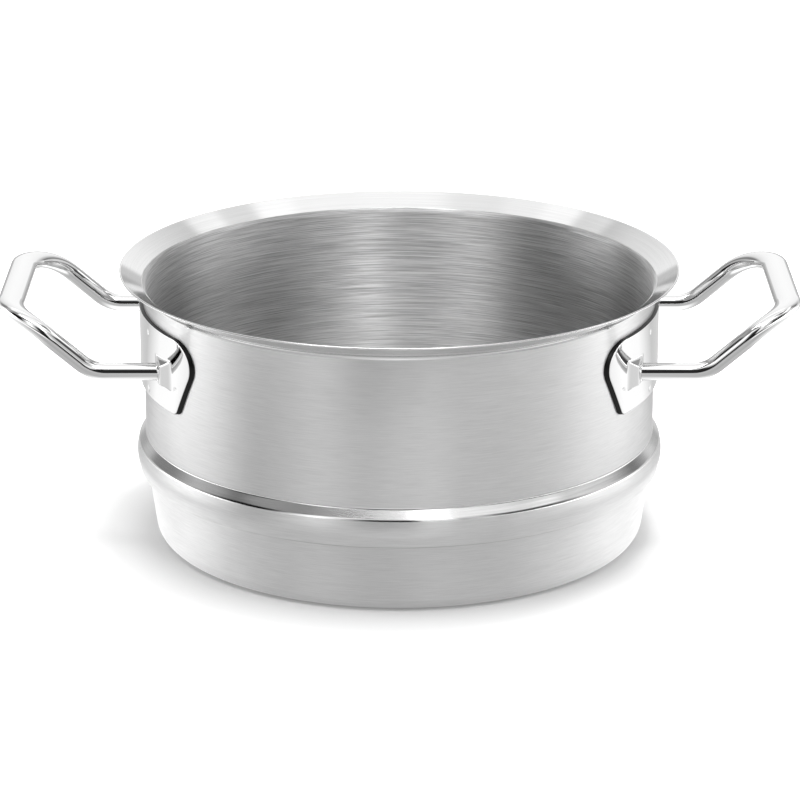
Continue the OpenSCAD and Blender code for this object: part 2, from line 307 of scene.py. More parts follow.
def bend(before, here, after, radius, off):
    """The arc that rounds one corner of a sheet path moved sideways by off. A point is radius + height j."""
    u = (here - before) / abs(here - before)
    v = (after - here) / abs(after - here)
    dot, cross = (u.conjugate() * v).real, (u.conjugate() * v).imag
    side = math.copysign(1, cross)
    radius = max(radius - side * off, SHARPEST_BEND)
    turn = math.acos(dot)
    start = here + off * 1j * (u + v) / (1 + dot) - u * radius * math.tan(turn / 2)
    centre = start + side * radius * 1j * u
    steps = max(LEAST_STEPS, math.ceil(math.degrees(turn) / BEND_STEP))
    return [centre + (start - centre) * np.exp(1j * side * turn * k / steps) for k in range(steps + 1)]


def spaced(points, step, support):
    """Adds points on the long straight runs of a line: one close to each end, then one at each step."""
    out = []
    for a, b in zip(points, points[1:]):
        run = abs(b - a)
        out.append(a)
        if run > 3 * support:
            inner = np.linspace(support, run - support, max(2, math.ceil(run / step)))
            out.extend(a + (b - a) * s / run for s in inner)
    return out + [points[-1]]


def body_finish(s, height, outside, throat):
    """Which finish the sheet has at a height, on its outside or its inside."""
    if height < TOUCH + (0 if outside else s.sheet_t):
        return TURNED
    if not outside:
        return BUFFED if height > throat + BUFFED_ABOVE else BRUSHED
    if s.ledge_z + s.bead_h * BURNISHED_FROM < height < s.ledge_z + s.bead_h + BURNISHED_PAST:
        return BURNISHED
    # A thin band at the ledge's corner is painted darker, as shade in the crease.
    if abs(height - s.ledge_z) < CREASE_SHADE_REACH:
        return CREASE_SHADE
    return BUFFED if height > throat - BUFFED_BELOW else SATIN


def vessel_profile(s):
    """The sheet's closed outline from the perforated disc out, over the lip and back: points and finishes."""
    wall = s.mouth_d / 2 + s.sheet_t
    end_r = wall + s.lip_out - s.sheet_t * (1 - math.sin(s.lip_slope)) / 2
    end_z = s.vessel_h - s.sheet_t / 2 * (1 + math.cos(s.lip_slope))
    skirt = wall - s.skirt_in
    throat = end_z - (end_r - wall) * math.tan(s.lip_slope)
    shoulder = (wall + s.bead_out * SHOULDER_OUT, s.ledge_z + s.bead_h * SHOULDER_UP)
    corners = [
        (0, 0, 0),
        (skirt - s.ledge_z * math.tan(s.skirt_lean), 0, s.corner_r),
        (skirt, s.ledge_z, LEDGE_BEND),
        (wall + s.bead_foot_out, s.ledge_z, s.sheet_t + FOOT_BEND),
        (wall + s.bead_out, s.ledge_z + s.crown_z, s.crown_r),
        (*shoulder, s.sheet_t + SHOULDER_BEND),
        (wall, s.ledge_z + s.bead_h, TOP_BEND),
        (wall, throat, s.throat_r - s.sheet_t),
        (end_r, end_z, 0),
    ]
    path = [complex(r, z) for r, z, _ in corners]
    faces = []
    for off in (0, s.sheet_t):
        line = [complex(DISC_R, off)]
        for i in range(1, len(path) - 1):
            line += bend(path[i - 1], path[i], path[i + 1], corners[i][2], off)
        last = path[-1] - path[-2]
        faces.append(line + [path[-1] + off * 1j * last / abs(last)])
    outside, inside = faces
    tip = (outside[-1] + inside[-1]) / 2
    round_tip = [tip + s.sheet_t / 2 * np.exp(1j * (s.lip_slope + math.radians(a))) for a in TIP_TURNS]
    outside = spaced(outside + round_tip, PROFILE_STEP, PROFILE_SUPPORT)
    points = outside + spaced(inside[::-1], PROFILE_STEP, PROFILE_SUPPORT)
    middles = [(a + b) / 2 for a, b in zip(points, points[1:] + points[:1])]
    return points, [body_finish(s, m.imag, i < len(outside), throat) for i, m in enumerate(middles)]


def new_tree(name, sockets):
    """A Geometry Nodes tree with its named inputs, and its input and output nodes."""
    tree = bpy.data.node_groups.new(name, "GeometryNodeTree")
    tree.interface.new_socket("Geometry", in_out="INPUT", socket_type="NodeSocketGeometry")
    for label, kind in sockets:
        tree.interface.new_socket(label, in_out="INPUT", socket_type=f"NodeSocket{kind}")
    tree.interface.new_socket("Geometry", in_out="OUTPUT", socket_type="NodeSocketGeometry")
    return tree, add(tree, "NodeGroupInput").outputs, add(tree, "NodeGroupOutput").inputs[0]


def run_tree(mesh, tree, values):
    """Runs a Geometry Nodes tree on a mesh with these inputs and returns the result as a plain mesh."""
    holder = bpy.data.objects.new("holder", mesh)
    bpy.context.scene.collection.objects.link(holder)
    modifier = holder.modifiers.new(tree.name, "NODES")
    modifier.node_group = tree
    for item in tree.interface.items_tree:
        if item.item_type == "SOCKET" and item.in_out == "INPUT" and item.name in values:
            modifier[item.identifier] = values[item.name]
    bpy.context.view_layer.update()
    graph = bpy.context.evaluated_depsgraph_get()
    done = holder.evaluated_get(graph)
    result = bpy.data.meshes.new_from_object(done, preserve_all_data_layers=True, depsgraph=graph)
    holder.modifiers.remove(modifier)
    bpy.data.objects.remove(holder)
    return result


def on_circle(tree, radius, turn, height=0.0):
    """The place at this radius and turn about Z, and at this height."""
    shares = [add(tree, MATH, (turn,), operation=side) for side in ("COSINE", "SINE")]
    flat = [add(tree, MATH, (radius, share), operation="MULTIPLY") for share in shares]
    return add(tree, "ShaderNodeCombineXYZ", (*flat, height))


def spinning_tree():
    """Spins a closed outline about Z. The outline's points hold (radius, 0, height), "along" and "finish"."""
    sockets = [("Segments", "Int")] + [(name, "Material") for name in BODY_FINISHES]
    tree, given, end = new_tree("spun_sheet", sockets)
    outline = given["Geometry"]
    count = add(tree, "GeometryNodeAttributeDomainSize", (outline,), component="MESH").outputs["Point Count"]
    columns = add(tree, MATH, (given["Segments"], 1.0), operation="ADD")
    rows = add(tree, MATH, (count, 1.0), operation="ADD")
    sizes = {"Size X": 1.0, "Size Y": 1.0, "Vertices X": columns, "Vertices Y": rows}
    grid = add(tree, "GeometryNodeMeshGrid", sizes)
    x, y, _ = add(tree, "ShaderNodeSeparateXYZ", (add(tree, "GeometryNodeInputPosition"),)).outputs
    x, y = [add(tree, MATH, (way, 0.5), operation="ADD") for way in (x, y)]
    turn = add(tree, MATH, (x, math.tau), operation="MULTIPLY")
    row = add(tree, MATH, (y, count), operation="MULTIPLY")
    values = {"Geometry": grid, "Name": "row", "Value": row}
    kept = add(tree, "GeometryNodeStoreNamedAttribute", values, data_type="FLOAT", domain="POINT")
    point_row = add(tree, MATH, (add(tree, MATH, (row,), operation="ROUND"), count), operation="MODULO")
    face_row = add(tree, "GeometryNodeInputNamedAttribute", {"Name": "row"}, data_type="FLOAT")
    face_row = add(tree, MATH, (face_row,), operation="FLOOR")
    position = add(tree, "GeometryNodeInputPosition")
    along = add(tree, "GeometryNodeInputNamedAttribute", {"Name": "along"}, data_type="FLOAT")
    finish = add(tree, "GeometryNodeInputNamedAttribute", {"Name": "finish"}, data_type="INT")
    samples = []
    for value, at, kind in (
        (position, point_row, "FLOAT_VECTOR"), (along, point_row, "FLOAT"), (finish, face_row, "INT"),
    ):
        values = {"Geometry": outline, "Value": value, "Index": at}
        samples.append(add(tree, "GeometryNodeSampleIndex", values, data_type=kind))
    position, along, finish = samples
    values = {"Geometry": kept, "Name": "UVMap", "Value": add(tree, "ShaderNodeCombineXYZ", (turn, along))}
    kept = add(tree, "GeometryNodeStoreNamedAttribute", values, data_type="FLOAT2", domain="CORNER")
    radius, _, height = add(tree, "ShaderNodeSeparateXYZ", (position,)).outputs
    spun = on_circle(tree, radius, turn, height)
    shell = add(tree, "GeometryNodeSetPosition", {"Geometry": kept, "Position": spun})
    shell = add(tree, "GeometryNodeMergeByDistance", {"Geometry": shell, "Distance": TOUCH})
    shell = add(tree, "GeometryNodeRealizeInstances", (shell,))
    for number, name in enumerate(BODY_FINISHES):
        chosen = add(tree, "FunctionNodeCompare", {2: finish, 3: number}, data_type="INT", operation="EQUAL")
        values = {"Geometry": shell, "Selection": chosen, "Material": given[name]}
        shell = add(tree, "GeometryNodeSetMaterial", values)
    tree.links.new(shell.outputs[0], end)
    return tree


def piercing_tree():
    """Pierces a disc with a middle hole and rings of six, twelve, eighteen and more holes round it."""
    sockets = [
        ("Hole Diameter", "Float"), ("Ring Pitch", "Float"), ("Rings", "Int"), ("Punch Length", "Float"),
        ("Finish", "Material"),
    ]
    tree, given, end = new_tree("pierced_disc", sockets)
    rings = given["Rings"]
    number = add(tree, "GeometryNodeInputIndex")
    # The ring k that hole i lies in is the smallest with 3 k (k + 1) at least i
    ring = add(tree, MATH, (number, 12.0, 9.0), operation="MULTIPLY_ADD")
    ring = add(tree, MATH, (ring,), operation="SQRT")
    ring = add(tree, MATH, (ring, 3.0), operation="SUBTRACT")
    ring = add(tree, MATH, (ring, 6.0), operation="DIVIDE")
    ring = add(tree, MATH, (ring, 0.001), operation="SUBTRACT")
    ring = add(tree, MATH, (ring,), operation="CEIL")
    counts = []
    for k, step in ((rings, "ADD"), (ring, "SUBTRACT")):
        product = add(tree, MATH, (k, add(tree, MATH, (k, 1.0), operation=step)), operation="MULTIPLY")
        counts.append(add(tree, MATH, (product, 3.0, 1.0), operation="MULTIPLY_ADD"))
    holes, before = counts
    turn = add(tree, MATH, (number, before), operation="SUBTRACT")
    turn = add(tree, MATH, (turn, add(tree, MATH, (ring, 6.0), operation="MULTIPLY")), operation="DIVIDE")
    turn = add(tree, MATH, (turn, math.tau), operation="MULTIPLY")
    spot = on_circle(tree, add(tree, MATH, (ring, given["Ring Pitch"]), operation="MULTIPLY"), turn)
    points = add(tree, "GeometryNodePoints", {"Count": holes, "Position": spot})
    radius = add(tree, MATH, (given["Hole Diameter"], 0.5), operation="MULTIPLY")
    sizes = {"Vertices": HOLE_SIDES, "Radius": radius, "Depth": given["Punch Length"]}
    punch = add(tree, "GeometryNodeMeshCylinder", sizes)
    punches = add(tree, "GeometryNodeInstanceOnPoints", {"Points": points, "Instance": punch})
    punches = add(tree, "GeometryNodeRealizeInstances", (punches,))
    parts = {"Mesh 1": given["Geometry"], "Mesh 2": punches}
    pierced = add(tree, "GeometryNodeMeshBoolean", parts, operation="DIFFERENCE", solver="EXACT")
    whole = add(tree, "GeometryNodeRealizeInstances", (pierced,))
    done = add(tree, "GeometryNodeSetMaterial", {"Geometry": whole, "Material": given["Finish"]})
    tree.links.new(done.outputs[0], end)
    return tree


def disc_blank(s):
    """The round blank that is pierced to make the middle of the base."""
    turns = [math.tau * i / SEGMENTS for i in range(SEGMENTS)]
    ring = [(DISC_R * math.cos(a), DISC_R * math.sin(a)) for a in turns]
    points = [(x, y, 0) for x, y in ring] + [(x, y, s.sheet_t) for x, y in ring]
    after = [(i + 1) % SEGMENTS for i in range(SEGMENTS)]
    walls = [(i, j, j + SEGMENTS, i + SEGMENTS) for i, j in enumerate(after)]
    caps = [tuple(reversed(range(SEGMENTS))), tuple(range(SEGMENTS, 2 * SEGMENTS))]
    mesh = bpy.data.meshes.new("disc_blank")
    mesh.from_pydata(points, [], walls + caps)
    return mesh


def joined(shell, disc, materials):
    """The spun shell and the pierced disc as one closed mesh, with its material numbers in one order."""
    mesh = bpy.data.meshes.new("steamer_body")
    order = {material.name: i for i, material in enumerate(materials)}
    whole = bmesh.new()
    for part in (shell, disc):
        names = [material.name if material else materials[TURNED].name for material in part.materials]
        known = len(whole.faces)
        whole.from_mesh(part)
        whole.faces.ensure_lookup_table()
        for face in whole.faces[known:]:
            face.material_index = order[names[face.material_index]] if names else TURNED
    rim = [
        f for f in whole.faces
        if abs(f.normal.z) < 0.5 and all(abs(v.co.xy.length - DISC_R) < 10 * TOUCH for v in f.verts)
    ]
    bmesh.ops.delete(whole, geom=rim, context="FACES_ONLY")
    bmesh.ops.remove_doubles(whole, verts=whole.verts, dist=2 * TOUCH)
    bmesh.ops.recalc_face_normals(whole, faces=whole.faces)
    whole.to_mesh(mesh)
    whole.free()
    for material in materials:
        mesh.materials.append(material)
    return mesh


def shaded(mesh, sharp_from=40):
    """Smooth shading with its sharp edges kept. sharp_from is in degrees."""
    mesh.polygons.foreach_set("use_smooth", [True] * len(mesh.polygons))
    mesh.set_sharp_from_angle(angle=math.radians(sharp_from))
    mesh.update()
    return mesh


def placed(name, mesh, node):
    """Puts a finished mesh into the scene, in the place of a node of the frame."""
    piece = bpy.data.objects.new(name, mesh)
    bpy.context.scene.collection.objects.link(piece)
    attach(piece, "root")
    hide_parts(node)
    return piece


class STEAMER_OT_body(bpy.types.Operator):
    """Spin the stepped vessel with its flared lip and pierce its base"""

    bl_idname = "steamer.body"
    bl_label = "Steamer body"

    def execute(self, context):
        s = context.scene.steamer_body
        f = context.scene.steamer_finishes
        # Ground with a fine belt round the body: a soft grey sheen that draws light and dark out upright. The
        # real lines are about 0.1 mm apart and are drawn 0.4 mm apart, so that they show.
        satin = ground_steel(
            BODY_FINISHES[SATIN], f.satin_roughness, spread=0.04, line=0.4 * MM, streak=12 * MM,
            depth=0.001 * MM, stretch=0.95, tint=0.5, bands=0.15,
        )
        # Brushed with a coarser wheel: rougher than the outside, with longer streaks. Between the lines the
        # colour is brighter than bare steel, a painted glint that makes the streaks look lit one by one and
        # lifts the whole inside. They too are drawn about 0.4 mm apart, so that they show.
        brushed = ground_steel(
            BODY_FINISHES[BRUSHED], f.brushed_roughness, spread=0.1, line=0.38 * MM, streak=28 * MM,
            depth=0.01 * MM, stretch=1.0, tint=1.0, bands=0.1, painted_glint_ridge="painted_glint_ridge", soft=0.15,
        )
        # The flared lip is buffed after drawing: nearly a mirror, with faint lines.
        buffed = ground_steel(
            BODY_FINISHES[BUFFED], 0.09, spread=0.03, line=0.6 * MM, streak=60 * MM, depth=0.001 * MM,
            stretch=0.3, tint=0.3,
        )
        # The roll that forms the bead burnishes its shoulder, so it shines more than the wall.
        burnished = ground_steel(
            BODY_FINISHES[BURNISHED], 0.15, spread=0.03, line=0.5 * MM, streak=40 * MM, depth=0.002 * MM,
            stretch=0.5, tint=0.6,
        )
        # The base is faced on a lathe: fine rings about the middle.
        turned = ground_steel(
            BODY_FINISHES[TURNED], 0.3, spread=0.06, line=0.6 * MM, streak=24 * MM, depth=0.006 * MM,
            stretch=0.7, tint=0.5, turned=True,
        )
        # A dark hairline round the skirt at the ledge's tight corner: painted shade in the crease, in the
        # grinding line colour at a dull roughness.
        crease_shade = polished_steel(BODY_FINISHES[CREASE_SHADE], 0.4, wave=0.0, colour_name="line")
        materials = [satin, brushed, buffed, burnished, turned, crease_shade]
        points, finishes = vessel_profile(s)
        outline = bpy.data.meshes.new("outline")
        outline.from_pydata([(p.real, 0, p.imag) for p in points], [], [])
        along = np.concatenate([[0], np.cumsum(np.abs(np.diff(points)))])
        outline.attributes.new("along", "FLOAT", "POINT").data.foreach_set("value", along.astype(np.float32))
        outline.attributes.new("finish", "INT", "POINT").data.foreach_set("value", finishes)
        values = {"Segments": SEGMENTS, **dict(zip(BODY_FINISHES, materials))}
        shell = run_tree(outline, spinning_tree(), values)
        values = {
            "Hole Diameter": s.hole_d,
            "Ring Pitch": s.ring_pitch,
            "Rings": s.rings,
            "Punch Length": PUNCH_LENGTH * s.sheet_t,
            "Finish": turned,
        }
        disc = run_tree(disc_blank(s), piercing_tree(), values)
        body = placed("steamer_body", shaded(joined(shell, disc, materials)), "vessel")
        if len(body.data.polygons) < SEGMENTS * len(points):
            raise RuntimeError("the body came out with too few faces")
        return {"FINISHED"}


# ---- handle plates --------------------------------------------------------

SPOT_WELDS = ((33.3, 12.2), (18.6, 31.2), (18.2, 3.6))  # degrees from the middle, mm above the lower edge
EDGE_ROUND = 0.45  # mm
EDGE_INSETS = (0, 0.06, 0.17, 0.3, EDGE_ROUND)
EDGE_KEPT = 0.35  # mm left free of points inside the rounded edge
LOBE_POINTS, FOOT_POINTS = 28, 14
BOSS_EDGE, BOSS_FILLET = 0.5, 0.6  # mm
BOSS_RIM = 0.13  # mm of flat face left outside the weld
GRID = 0.4  # mm between the points of a plate's bosses and dimples, a third of those elsewhere
PATCH_OUT, PATCH_W, PATCH_H = 2.5, 13, 10  # mm: outward shift, half width and half height of a boss's points
POLISHED, EDGE_SHADE = 0, 1
SHADED_EDGE_FROM = 0.45  # of the edge's round, from where a face counts as punched edge, dark with partly painted shade
CUT_INSIDE, CUT_SNAP = 1, 1e-6


def handle_sizes():
    """All lengths in millimetres and angles in radians, with the handle's places that follow from them."""
    scene = bpy.context.scene
    sizes = {}
    for group in (scene.steamer_body, scene.steamer_handles):
        for name in group.__annotations__:
            in_mm = group.bl_rna.properties[name].unit == "LENGTH"
            sizes[name] = getattr(group, name) / MM if in_mm else getattr(group, name)
    h = SimpleNamespace(**sizes)
    h.back_r = h.mouth_d / 2 + h.sheet_t + h.plate_gap
    h.plate_r = h.back_r + h.plate_t
    h.leg_y = h.leg_spread / 2
    h.leg_z = h.vessel_h - h.leg_drop
    h.plate_z = h.leg_z - h.plate_drop
    h.boss_x = math.sqrt(h.plate_r**2 - h.leg_y**2) + h.boss_out
    return h


def closed_mesh(name, points, faces, materials, half_turn, numbers=None, sharp_from=40):
    """A closed mesh from points in millimetres, with faces outwards, turned half round for the left side."""
    points = np.array(points) * MM
    if half_turn:
        points[:, :2] *= -1
    mesh = bpy.data.meshes.new(name)
    mesh.from_pydata(points.tolist(), [], faces)
    for material in materials:
        mesh.materials.append(material)
    if numbers:
        mesh.polygons.foreach_set("material_index", numbers)
    whole = bmesh.new()
    whole.from_mesh(mesh)
    bmesh.ops.recalc_face_normals(whole, faces=whole.faces)
    whole.to_mesh(mesh)
    whole.free()
    return shaded(mesh, sharp_from)


def plate_outline(h, inset):
    """The plate's outline moved inwards, seen along X, clockwise from the top: complex y + z j."""
    lobe = complex(h.plate_w / 2 - h.lobe_r, h.plate_z + h.plate_h - h.lobe_r)
    out = np.exp(-1j * h.lobe_lean)
    foot_z = h.plate_z + h.plate_corner_r
    level = (out.conjugate() * lobe).real + h.lobe_r - h.plate_corner_r
    foot = complex((level + math.sin(h.lobe_lean) * foot_z) / math.cos(h.lobe_lean), foot_z)
    over = np.linspace(math.pi / 2, -h.lobe_lean, LOBE_POINTS)
    under = np.linspace(-h.lobe_lean, -math.pi / 2, FOOT_POINTS)
    half = [lobe + (h.lobe_r - inset) * np.exp(1j * a) for a in over]
    half += [foot + (h.plate_corner_r - inset) * np.exp(1j * a) for a in under]
    loop = half + [complex(-p.real, p.imag) for p in reversed(half)]
    return spaced(loop + [loop[0]], 1.0, 0.5)[:-1]


def smooth_max(a, b, reach):
    """The larger of two heights, with a fillet where they meet."""
    blend = np.maximum(reach - np.abs(a - b), 0) / reach
    return np.maximum(a, b) + blend * blend * reach / 4


def boss_height(h, y, z):
    """Height along X of one boss's flat face and four sloping sides, with rounded edges between them."""
    half = h.bar_d / 2 / math.cos(h.boss_turn) + h.weld_leg + BOSS_RIM
    left, forward = -math.sin(h.boss_turn), math.cos(h.boss_turn)
    root_r = h.plate_r - h.plate_t / 2
    face = [
        (h.boss_x + u * left, h.leg_y + u * forward, h.leg_z + v)
        for u in (-half, half)
        for v in (-half, half)
    ]
    ends = (h.leg_y - h.boss_near, h.leg_y + h.boss_far)
    root = [
        (root_r * math.cos(a), root_r * math.sin(a), h.leg_z + h.boss_up + v)
        for a in (math.asin(end / h.plate_r) for end in ends)
        for v in (-h.boss_h / 2, h.boss_h / 2)
    ]
    height = None
    sides = (face[:2] + root[:2], face[2:] + root[2:], face[::2] + root[::2], face[1::2] + root[1::2])
    for corners in (face, *sides):
        c = np.array(corners)
        fit = np.linalg.lstsq(np.column_stack([np.ones(4), c[:, 1], c[:, 2]]), c[:, 0], rcond=None)[0]
        plane = fit[0] + fit[1] * y + fit[2] * z
        height = plane if height is None else -smooth_max(-height, -plane, BOSS_EDGE)
    return height


def plate_grid(h, outline, spots):
    """Points over a plate as y + z j, close together on the bosses and the dimples."""
    top = h.plate_z + h.plate_h + h.lobe_r
    y, z = np.meshgrid(np.arange(-h.plate_w / 2, h.plate_w / 2, GRID), np.arange(h.plate_z, top, GRID))
    rows, columns = np.indices(y.shape)
    coarse = (rows % 3 == 0) & (columns % 3 == 0)
    near_boss = np.abs(np.abs(y) - h.leg_y - PATCH_OUT) < PATCH_W
    near_boss &= np.abs(z - h.leg_z - h.boss_up) < PATCH_H
    near_spot = np.any([np.hypot(y - at_y, z - at_z) < h.dimple_d for at_y, at_z in spots], axis=0)
    points = (y + 1j * z)[coarse | near_boss | near_spot]
    ahead = np.roll(outline, -1) - outline
    ahead /= np.abs(ahead)
    # The outline is convex and clockwise, so a point inside lies to the right of each of its steps
    right = -(ahead.conjugate()[None, :] * (points[:, None] - outline[None, :])).imag
    return points[right.min(1) > EDGE_ROUND + EDGE_KEPT]


def plate_mesh(h, materials, half_turn):
    """One handle plate: a curved blank with two pressed bosses, dimpled spot welds and rounded edges."""
    loops = [plate_outline(h, inset) for inset in EDGE_INSETS]
    flat, depth, edges = [], [], []
    for inset, loop in zip(EDGE_INSETS, loops):
        first = len(flat)
        drop = EDGE_ROUND - math.sqrt(EDGE_ROUND**2 - (EDGE_ROUND - inset) ** 2)
        flat += loop
        depth += [drop] * len(loop)
        edges += [(first + i, first + (i + 1) % len(loop)) for i in range(len(loop))]
    spots = [
        (side * h.plate_r * math.sin(math.radians(a)), h.plate_z + up)
        for a, up in SPOT_WELDS
        for side in (-1, 1)
    ]
    middle = list(plate_grid(h, np.array(loops[0]), spots))
    flat += middle
    depth += [0.0] * len(middle)
    rim_count = len(loops[0])
    corners = [Vector((p.real, p.imag)) for p in flat]
    cut = delaunay_2d_cdt(corners, edges, [list(range(rim_count))], CUT_INSIDE, CUT_SNAP)
    places, faces, origin = cut[0], cut[2], cut[3]
    y = np.array([p.x for p in places])
    z = np.array([p.y for p in places])
    drop = np.array([depth[o[0]] if o else 0.0 for o in origin])
    front = np.sqrt(h.plate_r**2 - y**2)
    for side in (1, -1):
        front = smooth_max(front, boss_height(h, side * y, z), BOSS_FILLET)
    for spot_y, spot_z in spots:
        away = np.hypot(y - spot_y, z - spot_z) / (h.dimple_d / 2)
        front -= h.dimple_depth * np.clip(1 - away**2, 0, None) ** 1.5
    front -= drop
    count = len(y)
    rim = {k: i for i, o in enumerate(origin) for k in o if k < rim_count}
    back = np.sqrt(h.back_r**2 - y**2)
    points = np.column_stack([np.concatenate([front, back]), np.tile(y, 2), np.tile(z, 2)])
    whole = [tuple(f) for f in faces] + [tuple(count + i for i in reversed(f)) for f in faces]
    # Faces far round the rounded edge take the punched edge's dark colour, which is partly painted shade.
    numbers = [EDGE_SHADE if max(drop[list(f)]) > EDGE_ROUND * SHADED_EDGE_FROM else POLISHED for f in faces]
    numbers += [POLISHED] * len(faces) + [EDGE_SHADE] * rim_count
    for i in range(rim_count):
        a, b = rim[i], rim[(i + 1) % rim_count]
        whole.append((a, b, count + b, count + a))
    return closed_mesh("plate", points, whole, materials, half_turn, numbers)


class STEAMER_OT_plates(bpy.types.Operator):
    """Press the two curved handle plates with their bosses and spot welds"""

    bl_idname = "steamer.plates"
    bl_label = "Handle plates"

    def execute(self, context):
        h = handle_sizes()
        f = context.scene.steamer_finishes
        # Pressed sheet buffed to a mirror: clear reflections that the buffing bends a little.
        mirror = polished_steel("mirror_polished_sheet", f.mirror_roughness, wave=0.02 * MM)
        # The punch shears the edge of the blank, which stays dull as no buffing wheel reaches it. Its
        # near-black colour is partly painted: shade in the gap between plate and wall, and a painted dark
        # reflection on the rounded edge.
        edge = polished_steel("punched_edge", 0.3, wave=0.02 * MM, colour_name="edge")
        for side, half_turn in (("left", True), ("right", False)):
            mesh = plate_mesh(h, [mirror, edge], half_turn)
            placed(f"fixing_plate_{side}", mesh, f"handle_plate_{side}")
        return {"FINISHED"}


# ---- handle bars ----------------------------------------------------------

BAR_SIDES = 56
RING_STEP = 0.9  # mm
FIRST_RING = 2  # mm from the boss, past the weld
GRIP_SQUARENESS = 0.25


def bar_rings(h):
    """The rings of one handle bar, from the boss of the +Y leg round to the boss of the -Y leg."""
    bar_r = h.bar_d / 2
    leg_len = h.reach - h.grip_corner_r
    corner_len = h.grip_corner_r * math.pi / 2
    half_len = leg_len + corner_len + h.leg_y - h.grip_corner_r
    first_end = h.leg_run + h.rise_r * h.rise_angle
    rise_end = first_end + h.rise_run
    up = np.exp(1j * h.rise_angle)
    at_first = h.leg_run + h.rise_r * complex(math.sin(h.rise_angle), 1 - math.cos(h.rise_angle))
    at_rise = at_first + h.rise_run * up

    def strip(s):
        """Angle and place, out + up j, of the bent strip at a distance from the boss."""
        if s < h.leg_run:
            return 0.0, complex(s, 0)
        if s < first_end:
            a = (s - h.leg_run) / h.rise_r
            return a, h.leg_run + h.rise_r * complex(math.sin(a), 1 - math.cos(a))
        if s < rise_end:
            return h.rise_angle, at_first + (s - first_end) * up
        a = h.rise_angle - (s - rise_end) / h.crest_r
        fall = complex(math.sin(h.rise_angle) - math.sin(a), math.cos(a) - math.cos(h.rise_angle))
        return a, at_rise + h.crest_r * fall

    def flat(d):
        """Place and outward angle of the bar's centre line in the flat strip."""
        if d < leg_len:
            return d, h.leg_y, math.pi / 2
        if d < leg_len + corner_len:
            a = math.pi / 2 - (d - leg_len) / h.grip_corner_r
            return leg_len + h.grip_corner_r * math.cos(a), h.leg_y - h.grip_corner_r * (1 - math.sin(a)), a
        return h.reach, half_len - d, 0.0

    turns = np.linspace(0, math.tau, BAR_SIDES, endpoint=False)
    c, s = np.cos(turns), np.sin(turns)
    steps = math.ceil((half_len - FIRST_RING) / RING_STEP)
    rings = []
    for d in np.concatenate([[0], np.linspace(FIRST_RING, half_len, steps)]):
        out_to, y_at, outward = flat(d)
        tilt, at = strip(out_to)
        t = min(max((d - leg_len) / h.press_run, 0), 1)
        pressed = t * t * (3 - 2 * t)
        power = 1 - GRIP_SQUARENESS * pressed
        half_w = bar_r + (h.grip_w / 2 - bar_r) * pressed
        half_t = bar_r + (h.grip_t / 2 - bar_r) * pressed
        w = half_w * np.sign(c) * np.abs(c) ** power
        n = half_t * np.sign(s) * np.abs(s) ** power
        out, y = w * math.cos(outward), y_at + w * math.sin(outward)
        x = at.real + out * math.cos(tilt) - n * math.sin(tilt)
        if d == 0:
            x = x - (y - h.leg_y) * math.tan(h.boss_turn)
        z = h.leg_z + at.imag + out * math.sin(tilt) + n * math.cos(tilt)
        rings.append(np.column_stack([h.boss_x + x, y, z]))
    mirrored = [ring * np.array([1, -1, 1]) for ring in reversed(rings[:-1])]
    return rings + mirrored


def swept(rings, closed=False):
    """Faces between rings of points, with a cap on each end unless the rings close on themselves."""
    sides, count = len(rings[0]), len(rings)
    faces = []
    for k in range(count if closed else count - 1):
        a, b = k * sides, (k + 1) % count * sides
        faces += [(a + i, b + i, b + (i + 1) % sides, a + (i + 1) % sides) for i in range(sides)]
    if not closed:
        faces += [tuple(range(sides)), tuple(reversed(range((count - 1) * sides, count * sides)))]
    return faces


class STEAMER_OT_bars(bpy.types.Operator):
    """Bend the two looped handle bars and press their grips flat"""

    bl_idname = "steamer.bars"
    bl_label = "Handle bars"

    def execute(self, context):
        f = context.scene.steamer_finishes
        # Bright drawn bar buffed to a mirror: a hard black line where it shows the dark side of the room.
        mirror = polished_steel("mirror_polished_bar", f.mirror_roughness, wave=0.006 * MM)
        rings = bar_rings(handle_sizes())
        for side, half_turn in (("left", True), ("right", False)):
            name = f"loop_handle_{side}"
            mesh = closed_mesh(name, np.concatenate(rings), swept(rings), [mirror], half_turn)
            placed(name, mesh, f"handle_bar_{side}")
        return {"FINISHED"}


# ---- weld beads -----------------------------------------------------------

WELD_STEPS = 72
WELD_DROPS = 15
DROP_DEPTH = 0.16  # of the weld's size
WELD_BITE, WELD_SINK = 0.02, 0.05  # mm that a weld reaches into the bar and into the boss
WELD_ARC = np.linspace(0.25, math.pi / 2 - 0.25, 5)
WELD_SHARP_FROM = 50  # degrees


def weld_rings(h, side):
    """A fillet round the end of one leg, laid in overlapping drops."""
    inner = h.bar_d / 2 / math.cos(h.boss_turn) - WELD_BITE
    away = np.array([math.cos(h.boss_turn), side * math.sin(h.boss_turn), 0])
    across = np.array([-away[1], away[0], 0])
    centre = np.array([h.boss_x, side * h.leg_y, h.leg_z])
    rings = []
    for k in range(WELD_STEPS):
        a = math.tau * k / WELD_STEPS
        size = h.weld_leg * (1 - DROP_DEPTH * abs(math.sin(a * WELD_DROPS / 2)))
        out = across * math.cos(a) + np.array([0, 0, math.sin(a)])
        section = [(0, -WELD_SINK), (size, -WELD_SINK), (size, WELD_SINK)]
        section += [
            (size * (1 - math.sin(t)) + WELD_BITE, size * (1 - math.cos(t)) + WELD_SINK) for t in WELD_ARC
        ]
        section += [(0, size)]
        rings.append(np.array([centre + out * (inner + r) + away * x for r, x in section]))
    return rings


